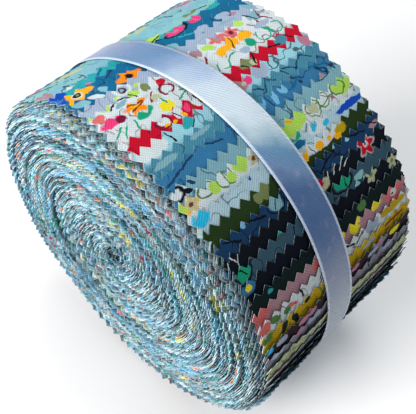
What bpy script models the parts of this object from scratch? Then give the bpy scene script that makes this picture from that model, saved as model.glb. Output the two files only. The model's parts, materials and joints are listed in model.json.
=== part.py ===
"""A roll of patchwork strips tied with a satin ribbon.

Forty cotton strips are each folded once across the middle, stacked, and rolled up
together, so that the stack shows its cut edges as a spiral on both flat faces. The
folds gather around the small core. The free ends finish one after another all round
the outside, each a little short of the one below it, like the slats of a shutter.
One satin ribbon goes round the middle of the roll, and its ends are lapped and held
with a dab of glue at the back.

The roll lies on its rim with its axis along Y and its front face towards -Y. The
lowest thing is the flat underside of the ribbon, at z = 0. Angles are in degrees,
measured from +X towards +Z, which is also the way that the strips wind outwards.
"""

import math

import bmesh
import bpy
from mathutils import Vector

# Driving dimensions of the cloth, in metres
STRIP_COUNT = 40
STRIP_WIDTH = 0.0635
FOLDED_LENGTH = 0.559
ROLL_RADIUS = 0.0545
CORE_RADIUS = 0.0035
CLOTH_SHARE = 0.76

# Driving dimensions of the ribbon and its glue, in metres
RIBBON_WIDTH = 0.010
RIBBON_THICKNESS = 0.00025
RIBBON_CLEARANCE = 0.0003
GLUE_THICKNESS = 0.0002
GLUE_CLEARANCE = 0.0001
GLUE_WIDTH = 0.007

# Angular layout, in degrees
RAYS_PER_TURN = 16
RAY_STEP = 360.0 / RAYS_PER_TURN
BASE_ANGLE = 270.0
FREE_END_MARGIN = 0.4
FREE_END_RAMP = 0.3
LAP_START_RAY = 8
GLUE_INSET = 4.5

# Worked out from the driving dimensions
TURNS = FOLDED_LENGTH / (math.pi * (ROLL_RADIUS + CORE_RADIUS))
FIRST_RAY = RAY_STEP / 2
END_STEP = (360.0 - RAY_STEP) / STRIP_COUNT
PLY_STEP = END_STEP / 2
FIRST_FREE_END = 360.0 + BASE_ANGLE - RAY_STEP / 2 - PLY_STEP - FREE_END_MARGIN
WINDING_START = FIRST_FREE_END - 360.0 * TURNS
GAP_SHARE = 1.0 - CLOTH_SHARE
SINGLE_PLY_SHARE = GAP_SHARE + CLOTH_SHARE / 2
RIBBON_RADIUS = ROLL_RADIUS + RIBBON_CLEARANCE
LAP_LIFT = RIBBON_THICKNESS + 2 * GLUE_CLEARANCE + GLUE_THICKNESS
AXIS_HEIGHT = (RIBBON_RADIUS + RIBBON_THICKNESS) * math.cos(math.radians(RAY_STEP / 2))

DYES = {
    "aqua": (0.42, 0.62, 0.60),
    "teal": (0.03, 0.30, 0.30),
    "cobalt": (0.02, 0.13, 0.34),
    "lilac": (0.45, 0.46, 0.56),
    "white": (0.72, 0.74, 0.72),
    "crimson": (0.52, 0.01, 0.03),
    "steel": (0.10, 0.25, 0.33),
    "sky": (0.14, 0.32, 0.50),
    "lime": (0.42, 0.62, 0.08),
    "olive": (0.03, 0.06, 0.01),
    "denim": (0.03, 0.09, 0.19),
    "navy": (0.01, 0.02, 0.05),
    "slate": (0.10, 0.15, 0.18),
    "forest": (0.004, 0.03, 0.025),
    "pink": (0.60, 0.26, 0.29),
    "mustard": (0.55, 0.38, 0.02),
    "plum": (0.10, 0.02, 0.05),
    "cream": (0.55, 0.55, 0.35),
}

# Strip 01 is the first whose end is met going round from the base towards +X, so the
# names run from the lower right of the front view, over the top, and down the far side.
CLOTHS = (
    "steel", "slate", "steel", "denim", "steel", "sky", "slate", "denim", "forest", "cream",
    "plum", "mustard", "pink", "slate", "denim", "olive", "lime", "steel", "crimson", "white",
    "lilac", "cobalt", "teal", "aqua", "aqua", "sky", "steel", "cobalt", "sky", "steel",
    "sky", "denim", "steel", "sky", "slate", "steel", "sky", "denim", "sky", "steel",
)


def clear_scene():
    """Remove whatever objects the file starts with."""
    for item in list(bpy.data.objects):
        bpy.data.objects.remove(item, do_unlink=True)


def make_material(name, color, roughness):
    """Return a Principled material with one colour and one roughness."""
    material = bpy.data.materials.new(name)
    material.use_nodes = True
    shader = material.node_tree.nodes["Principled BSDF"]
    shader.inputs["Base Color"].default_value = (*color, 1.0)
    shader.inputs["Roughness"].default_value = roughness
    shader.inputs["Metallic"].default_value = 0.0
    return material


def polar(angle, radius):
    """Return the point at an angle and radius, in the plane across the roll's axis."""
    turn = math.radians(angle)
    return Vector((radius * math.cos(turn), radius * math.sin(turn)))


def ray_angle(ray):
    """Return the angle of a numbered ray; the numbers go on rising turn after turn."""
    return FIRST_RAY + RAY_STEP * ray


def free_end(index):
    """Return the angle where the outer ply of a strip ends."""
    return FIRST_FREE_END - END_STEP * index


def layers_below(index, angle):
    """Return how many strips lie between the core and a strip, at a winding angle."""
    return STRIP_COUNT * (angle - WINDING_START) / 360.0 + index


def top_share(index, angle):
    """Return how far up its own layer a strip reaches: past its outer ply's end, half way."""
    if angle <= free_end(index):
        return 1.0
    return SINGLE_PLY_SHARE


def layers_at_surface(ray):
    """Return how many layers lie between the core and the surface along a ray."""
    highest = 0.0
    for index in range(STRIP_COUNT):
        last = free_end(index) + PLY_STEP
        turns_left = math.floor((last - ray_angle(ray)) / 360.0)
        angle = ray_angle(ray) + 360.0 * turns_left
        highest = max(highest, layers_below(index, angle) + top_share(index, angle))
    return highest


SURFACE_LAYERS = [layers_at_surface(ray) for ray in range(RAYS_PER_TURN)]


def ray_point(index, ray, share):
    """Return the point of a strip on a ray, share being its place within its layer."""
    layers = layers_below(index, ray_angle(ray)) + share
    depth = layers / SURFACE_LAYERS[ray % RAYS_PER_TURN]
    return polar(ray_angle(ray), CORE_RADIUS + (ROLL_RADIUS - CORE_RADIUS) * depth)


def ray_at_or_before(angle):
    """Return the number of the last ray that an angle has reached."""
    return math.floor((angle - FIRST_RAY) / RAY_STEP)


def strip_point(index, angle, share):
    """Return a strip's point at an angle, on the straight chord between two rays."""
    ray = ray_at_or_before(angle)
    along = (angle - ray_angle(ray)) / RAY_STEP
    return ray_point(index, ray, share).lerp(ray_point(index, ray + 1, share), along)


def strip_stations(index):
    """Return the inner and outer points of a strip, from its fold to its free end."""
    angle = WINDING_START - 360.0 * index / STRIP_COUNT
    end = free_end(index)
    stations = []
    while angle < end:
        stations.append((angle, 1.0))
        angle = ray_angle(ray_at_or_before(angle) + 1)
    stations.append((end, 1.0))
    stations.append((end + FREE_END_RAMP, SINGLE_PLY_SHARE))
    while angle < end + PLY_STEP:
        if angle > end + FREE_END_RAMP:
            stations.append((angle, SINGLE_PLY_SHARE))
        angle = ray_angle(ray_at_or_before(angle) + 1)
    stations.append((end + PLY_STEP, SINGLE_PLY_SHARE))
    return [
        (strip_point(index, place, GAP_SHARE), strip_point(index, place, top))
        for place, top in stations
    ]


def band_solid(name, stations, width, material, collection):
    """Make a closed band from inner and outer points, centred on the roll's middle plane."""
    bm = bmesh.new()
    front = -width / 2
    inner = [bm.verts.new((point.x, front, point.y)) for point, _ in stations]
    outer = [bm.verts.new((point.x, front, point.y)) for _, point in stations]
    for here in range(len(stations) - 1):
        after = here + 1
        bm.faces.new((inner[here], inner[after], outer[after], outer[here]))
    swept = bmesh.ops.extrude_face_region(bm, geom=bm.faces[:])
    moved = [item for item in swept["geom"] if isinstance(item, bmesh.types.BMVert)]
    bmesh.ops.translate(bm, verts=moved, vec=(0.0, width, 0.0))
    bmesh.ops.recalc_face_normals(bm, faces=bm.faces[:])
    mesh = bpy.data.meshes.new(name)
    bm.to_mesh(mesh)
    bm.free()
    mesh.materials.append(material)
    band = bpy.data.objects.new(name, mesh)
    band.location = (0.0, 0.0, AXIS_HEIGHT)
    collection.objects.link(band)
    return band


def ribbon_stations():
    """Return the ribbon's points, once round and then lapped over its own start."""
    last_ray = LAP_START_RAY + RAYS_PER_TURN + 1
    stations = []
    for ray in range(LAP_START_RAY, last_ray + 1):
        lapped = ray >= LAP_START_RAY + RAYS_PER_TURN
        radius = RIBBON_RADIUS + (LAP_LIFT if lapped else 0.0)
        angle = ray_angle(ray)
        stations.append((polar(angle, radius), polar(angle, radius + RIBBON_THICKNESS)))
    return stations


def glue_stations():
    """Return the glue dab's points, between the two laps of the ribbon."""
    below = RIBBON_RADIUS + RIBBON_THICKNESS + GLUE_CLEARANCE
    near = ray_angle(LAP_START_RAY)
    far = ray_angle(LAP_START_RAY + 1)
    stations = []
    for along in (GLUE_INSET / RAY_STEP, 1.0 - GLUE_INSET / RAY_STEP):
        inner = polar(near, below).lerp(polar(far, below), along)
        above = below + GLUE_THICKNESS
        outer = polar(near, above).lerp(polar(far, above), along)
        stations.append((inner, outer))
    return stations


def build_strips(collection):
    """Make the forty folded strips, each with the colour of its own cloth."""
    dyes = {name: make_material(f"cloth_{name}", color, 0.9) for name, color in DYES.items()}
    for number, cloth in enumerate(CLOTHS, start=1):
        stations = strip_stations(STRIP_COUNT - number)
        band_solid(f"strip_{number:02d}", stations, STRIP_WIDTH, dyes[cloth], collection)


def build_tie(collection):
    """Make the ribbon and the dab of glue that holds its lapped ends."""
    satin = make_material("satin", (0.62, 0.68, 0.82), 0.35)
    glue = make_material("clear_glue", (0.80, 0.78, 0.70), 0.30)
    band_solid("ribbon", ribbon_stations(), RIBBON_WIDTH, satin, collection)
    band_solid("ribbon_glue", glue_stations(), GLUE_WIDTH, glue, collection)


def main():
    clear_scene()
    roll = bpy.data.collections.new("fabric_strip_roll")
    bpy.context.scene.collection.children.link(roll)
    build_strips(roll)
    build_tie(roll)


main()
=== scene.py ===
# %% [markdown]
# # A roll of patchwork strips, tied with a satin ribbon
#
# Quilters buy cotton ready cut in strips. Forty of them are folded once across the middle,
# stacked, and rolled up together. Their edges are pinked, which means cut in a zig-zag so
# that they don't fray far, and on the two flat faces of the roll those edges show as a
# fuzzy spiral. Round the outside the free ends finish one after another, like slates.
#
# The solid model of the roll is loaded first, because it fixes every size and place. What
# is made here is the cloth itself: real sheets with teeth, prints, weave and loose threads.

# %% Load the solid model
import json
import math

import bmesh
import bpy
from mathutils import Matrix, Vector, noise


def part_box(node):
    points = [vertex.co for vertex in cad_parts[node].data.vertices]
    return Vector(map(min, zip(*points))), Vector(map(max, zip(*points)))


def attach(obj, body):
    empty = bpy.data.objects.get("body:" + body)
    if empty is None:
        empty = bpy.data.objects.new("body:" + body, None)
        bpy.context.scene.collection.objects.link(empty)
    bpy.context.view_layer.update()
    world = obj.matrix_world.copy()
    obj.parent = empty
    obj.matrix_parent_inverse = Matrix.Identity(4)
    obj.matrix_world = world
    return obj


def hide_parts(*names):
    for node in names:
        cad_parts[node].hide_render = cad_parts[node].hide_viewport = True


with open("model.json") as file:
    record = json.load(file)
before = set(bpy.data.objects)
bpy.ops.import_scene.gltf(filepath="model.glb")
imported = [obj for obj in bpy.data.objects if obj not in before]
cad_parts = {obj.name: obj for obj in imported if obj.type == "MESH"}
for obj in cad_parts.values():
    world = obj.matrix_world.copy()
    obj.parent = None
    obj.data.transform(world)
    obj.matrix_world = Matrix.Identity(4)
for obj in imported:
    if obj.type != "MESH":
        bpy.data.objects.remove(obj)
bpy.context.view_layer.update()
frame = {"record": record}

# %% [markdown]
# ## Sizes of the roll
#
# The solids say how wide the strips are, how big the roll is and how high its axis lies.
# They are wound on sixteen rays, so their flats lie a little inside the true circle.

# %% Read the sizes from the frame
MM = 0.001
RAYS_PER_TURN = 16
STRIP_COUNT = 40
PLY_COUNT = 2 * STRIP_COUNT
FACET = math.pi / RAYS_PER_TURN

strip_names = [f"strip_{number:02d}" for number in range(1, STRIP_COUNT + 1)]
strip_boxes = [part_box(name) for name in strip_names]
strips_low = [min(box[0][axis] for box in strip_boxes) for axis in range(3)]
strips_high = [max(box[1][axis] for box in strip_boxes) for axis in range(3)]
strip_width = strips_high[1] - strips_low[1]
flat_radius = (strips_high[2] - strips_low[2]) / 2
roll_radius = flat_radius / math.cos(FACET)
axis_height = (strips_high[2] + strips_low[2]) / 2
ribbon_low, ribbon_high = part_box("ribbon")
ribbon_width = ribbon_high[1] - ribbon_low[1]
print(f"strips {strip_width / MM:.1f} mm wide, roll radius {roll_radius / MM:.2f} mm")

# %% [markdown]
# ## How the strips are wound
#
# Picture the cloth as a pile of plies that turns round a small core. Every strip is folded
# in half, so it brings two plies, an inner and an outer one. A ply's height in the pile
# grows by eighty plies in each turn, and its radius follows from that height. The free
# ends are spread evenly round the rim, except over the flat that the roll stands on.

# %% Winding constants
CORE_RADIUS = 3.5 * MM
FOLDED_LENGTH = 559 * MM
FULL_TURN = 2 * math.pi
BASE_ANGLE = 1.5 * math.pi
TURNS = FOLDED_LENGTH / (math.pi * (roll_radius + CORE_RADIUS))
END_STEP = FULL_TURN * (1 - 1 / RAYS_PER_TURN) / STRIP_COUNT
PLY_STEP = END_STEP / 2
FIRST_FREE_END = FULL_TURN + BASE_ANGLE - FACET - PLY_STEP - math.radians(0.4)
PITCH = (roll_radius - CORE_RADIUS) / (PLY_COUNT * TURNS)
CLOTH_THICKNESS = 0.72 * PITCH
print(f"{TURNS:.2f} turns, {PITCH / MM:.3f} mm from ply to ply")

# %% [markdown]
# The pile is a few plies higher just past the standing flat than just before it, because
# no strip ends on the flat. The radius of a ply is its height as a share of the pile's.

# %% Radius of a ply
SPARE_PLIES = 2.0
EXTRA_PLIES = 5.0
FLAT_START, FLAT_FULL = 0.4, 1.0


def smooth_step(low, high, value):
    """Rise smoothly from 0 at low to 1 at high."""
    x = min(max((value - low) / (high - low), 0.0), 1.0)
    return x * x * (3 - 2 * x)


def pile_height(angle):
    """Return the number of plies from the core to the surface at an angle."""
    past_base = (angle - BASE_ANGLE - FACET) % FULL_TURN
    free_span = FULL_TURN * (1 - 1 / RAYS_PER_TURN)
    if past_base < free_span:
        share = 1 - past_base / free_span
    else:
        share = (past_base - free_span) / (FULL_TURN - free_span)
    return PLY_COUNT * TURNS + SPARE_PLIES + EXTRA_PLIES * share


def angle_from_base(angle):
    """Return how far round an angle lies from the middle of the standing flat."""
    return abs((angle - BASE_ANGLE + math.pi) % FULL_TURN - math.pi)


def ply_radius(height, angle):
    """Return the radius of a ply, given its height in the pile, with the flat pressed in."""
    share = height / pile_height(angle)
    radius = CORE_RADIUS + (roll_radius - CORE_RADIUS) * share
    off_base = angle_from_base(angle)
    if off_base < FACET:
        flat = flat_radius / math.cos(off_base) / roll_radius
        radius *= 1 + (flat - 1) * smooth_step(FLAT_START, FLAT_FULL, share)
    return radius


def place_on_roll(angle, radius, across):
    """Return the point at an angle, radius and distance along the axis."""
    return Vector((radius * math.cos(angle), across, axis_height + radius * math.sin(angle)))


print(f"pile of {pile_height(0):.0f} plies at the right")

# %% [markdown]
# The strips don't end level on the flat faces. Here and there a few sit back a little, and
# the groove that they leave runs round the spiral as a dark line, which painted shade on
# those strips' thread ends makes darker still.

# %% Grooves in the flat faces
GROOVES = (2, 7.5, 15, 21, 26, 31, 36)
GROOVE_REACH = 2.0


def groove_depth(index):
    """Say how far into a groove a strip lies: 1 in its middle, 0 outside it."""
    half = STRIP_COUNT // 2
    nearest = min(abs((index - groove + half) % STRIP_COUNT - half) for groove in GROOVES)
    return max(0.0, 1 - nearest / GROOVE_REACH)


print("strips in a groove:", [i for i in range(STRIP_COUNT) if groove_depth(i) > 0])

# %% [markdown]
# ## A shader sketchbook
#
# The prints are drawn by shader nodes, and node trees are tedious to wire by hand. One
# small class wraps a socket so that sums can be written as sums, and another adds nodes.

# %% Socket arithmetic
class Field:
    """A shader socket that can be added, multiplied and so on."""

    def __init__(self, sketch, socket):
        self.sketch = sketch
        self.socket = socket

    def __add__(self, other):
        return self.sketch.math("ADD", self, other)

    def __radd__(self, other):
        return self.sketch.math("ADD", other, self)

    def __sub__(self, other):
        return self.sketch.math("SUBTRACT", self, other)

    def __rsub__(self, other):
        return self.sketch.math("SUBTRACT", other, self)

    def __mul__(self, other):
        return self.sketch.math("MULTIPLY", self, other)

    def __rmul__(self, other):
        return self.sketch.math("MULTIPLY", other, self)

    def __truediv__(self, other):
        return self.sketch.math("DIVIDE", self, other)

    def __rtruediv__(self, other):
        return self.sketch.math("DIVIDE", other, self)


# %% Sketch: one material and its nodes
class Sketch:
    """A material or a node group, with the few helpers that drawing on cloth needs."""

    def __init__(self, name, group=False):
        if group:
            self.tree = bpy.data.node_groups.new(name, "ShaderNodeTree")
            return
        self.material = bpy.data.materials.new(name)
        self.material.use_nodes = True
        self.tree = self.material.node_tree
        self.shader = self.tree.nodes["Principled BSDF"]

    def node(self, kind, settings=None, values=None):
        """Add a node: its settings first, then the values or links of its sockets."""
        made = self.tree.nodes.new(kind)
        for key, value in (settings or {}).items():
            setattr(made, key, value)
        for key, value in (values or {}).items():
            self.feed(made.inputs[key], value)
        return made

    def feed(self, socket, value):
        """Link a field to a socket, or set the socket's own value."""
        if isinstance(value, Field):
            self.tree.links.new(value.socket, socket)
        elif isinstance(value, tuple) and len(value) == 3 and len(socket.default_value) == 4:
            socket.default_value = (*value, 1.0)
        else:
            socket.default_value = value

    def out(self, node, name=0):
        """Wrap one of a node's outputs."""
        return Field(self, node.outputs[name])

    def math(self, operation, *values, clamp=False):
        """Work out one step of arithmetic."""
        made = self.node(
            "ShaderNodeMath",
            {"operation": operation, "use_clamp": clamp},
            dict(enumerate(values)),
        )
        return self.out(made)

    def clamp(self, value):
        """Keep a value between 0 and 1."""
        return self.math("MULTIPLY", value, 1.0, clamp=True)

    def mix(self, share, first, second, blend="MIX"):
        """Blend two colours."""
        made = self.node(
            "ShaderNodeMix",
            {"data_type": "RGBA", "blend_type": blend},
            {0: share, 6: first, 7: second},
        )
        return self.out(made, 2)

    def noise(self, where, scale, detail=2.0):
        """Return a soft random value, and a random colour, over a pattern."""
        made = self.node(
            "ShaderNodeTexNoise", {}, {"Vector": where, "Scale": scale, "Detail": detail}
        )
        return self.out(made, "Fac"), self.out(made, "Color")

    def split(self, vector):
        """Return the three parts of a vector or colour."""
        made = self.node("ShaderNodeSeparateXYZ", {}, {0: vector})
        return [self.out(made, index) for index in range(3)]

    def join(self, x, y, z=0.0):
        """Make a vector or colour of three values."""
        return self.out(self.node("ShaderNodeCombineXYZ", {}, {0: x, 1: y, 2: z}))

    def paint(self, **values):
        """Feed the shader's sockets, an underscore standing for a space."""
        for name, value in values.items():
            self.feed(self.shader.inputs[name.replace("_", " ")], value)


print("sketch helpers ready")

# %% [markdown]
# ## Dyes
#
# A handful of dyes is shared by all the prints, which is why the forty cloths look like
# one family. They are named the way that a draper would name them.

# %% Dyes
DYES = {
    "aqua": (0.19, 0.42, 0.50),
    "ice": (0.27, 0.54, 0.63),
    "mint": (0.21, 0.46, 0.46),
    "teal": (0.02, 0.32, 0.36),
    "cobalt": (0.004, 0.12, 0.25),
    "royal": (0.004, 0.06, 0.42),
    "lilac": (0.30, 0.38, 0.50),
    "white": (0.55, 0.63, 0.65),
    "crimson": (0.48, 0.002, 0.020),
    "steel": (0.055, 0.22, 0.31),
    "blue": (0.031, 0.16, 0.32),
    "sky": (0.15, 0.42, 0.64),
    "haze": (0.18, 0.36, 0.42),
    "pale": (0.37, 0.53, 0.60),
    "lime": (0.38, 0.62, 0.09),
    "olive": (0.016, 0.038, 0.009),
    "denim": (0.008, 0.042, 0.11),
    "navy": (0.002, 0.004, 0.011),
    "ink": (0.003, 0.006, 0.011),
    "slate": (0.035, 0.085, 0.125),
    "forest": (0.002, 0.011, 0.011),
    "pink": (0.36, 0.21, 0.24),
    "coral": (0.60, 0.13, 0.125),
    "rose": (0.70, 0.04, 0.17),
    "orange": (0.90, 0.24, 0.004),
    "gold": (0.82, 0.38, 0.008),
    "mustard": (0.45, 0.31, 0.005),
    "yellow": (0.72, 0.62, 0.02),
    "cream": (0.42, 0.46, 0.28),
    "moss": (0.16, 0.20, 0.08),
    "dusk": (0.20, 0.20, 0.25),
    "plum": (0.020, 0.008, 0.014),
    "mauve": (0.42, 0.17, 0.26),
    "green": (0.006, 0.30, 0.16),
    "leaf": (0.07, 0.18, 0.05),
    "turquoise": (0.02, 0.42, 0.66),
    "brown": (0.16, 0.04, 0.01),
    "maroon": (0.17, 0.004, 0.03),
}
print(len(DYES), "dyes")

# %% [markdown]
# ## What is printed on each strip
#
# Only the last few millimetres of every ply show on the outside, so that is where the
# motifs matter. A ply has a ground and some motifs. A motif's place is given in
# millimetres: across the strip from its middle, and back from the free end.

# %% Motif makers
def flower(across, back, size, petals, heart, count=5):
    """A flower: its size, the dyes of its petals and heart, and the number of petals."""
    return ("flower", across, back, size, petals, heart, count)


def blob(across, back, width, height, dye, tilt=0.0):
    """A filled oval, tilted by some degrees: a leaf, a petal or a spot."""
    return ("blob", across, back, width, height, dye, tilt)


def line(across, back, length, tilt, dye, wide=0.35, bend=0.0):
    """A pen stroke, with a wave in it where bend isn't 0."""
    return ("line", across, back, length, tilt, dye, wide, bend)


def ring(across, back, width, height, dye, wide=0.35):
    """The outline of an oval."""
    return ("ring", across, back, width, height, dye, wide)


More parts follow.
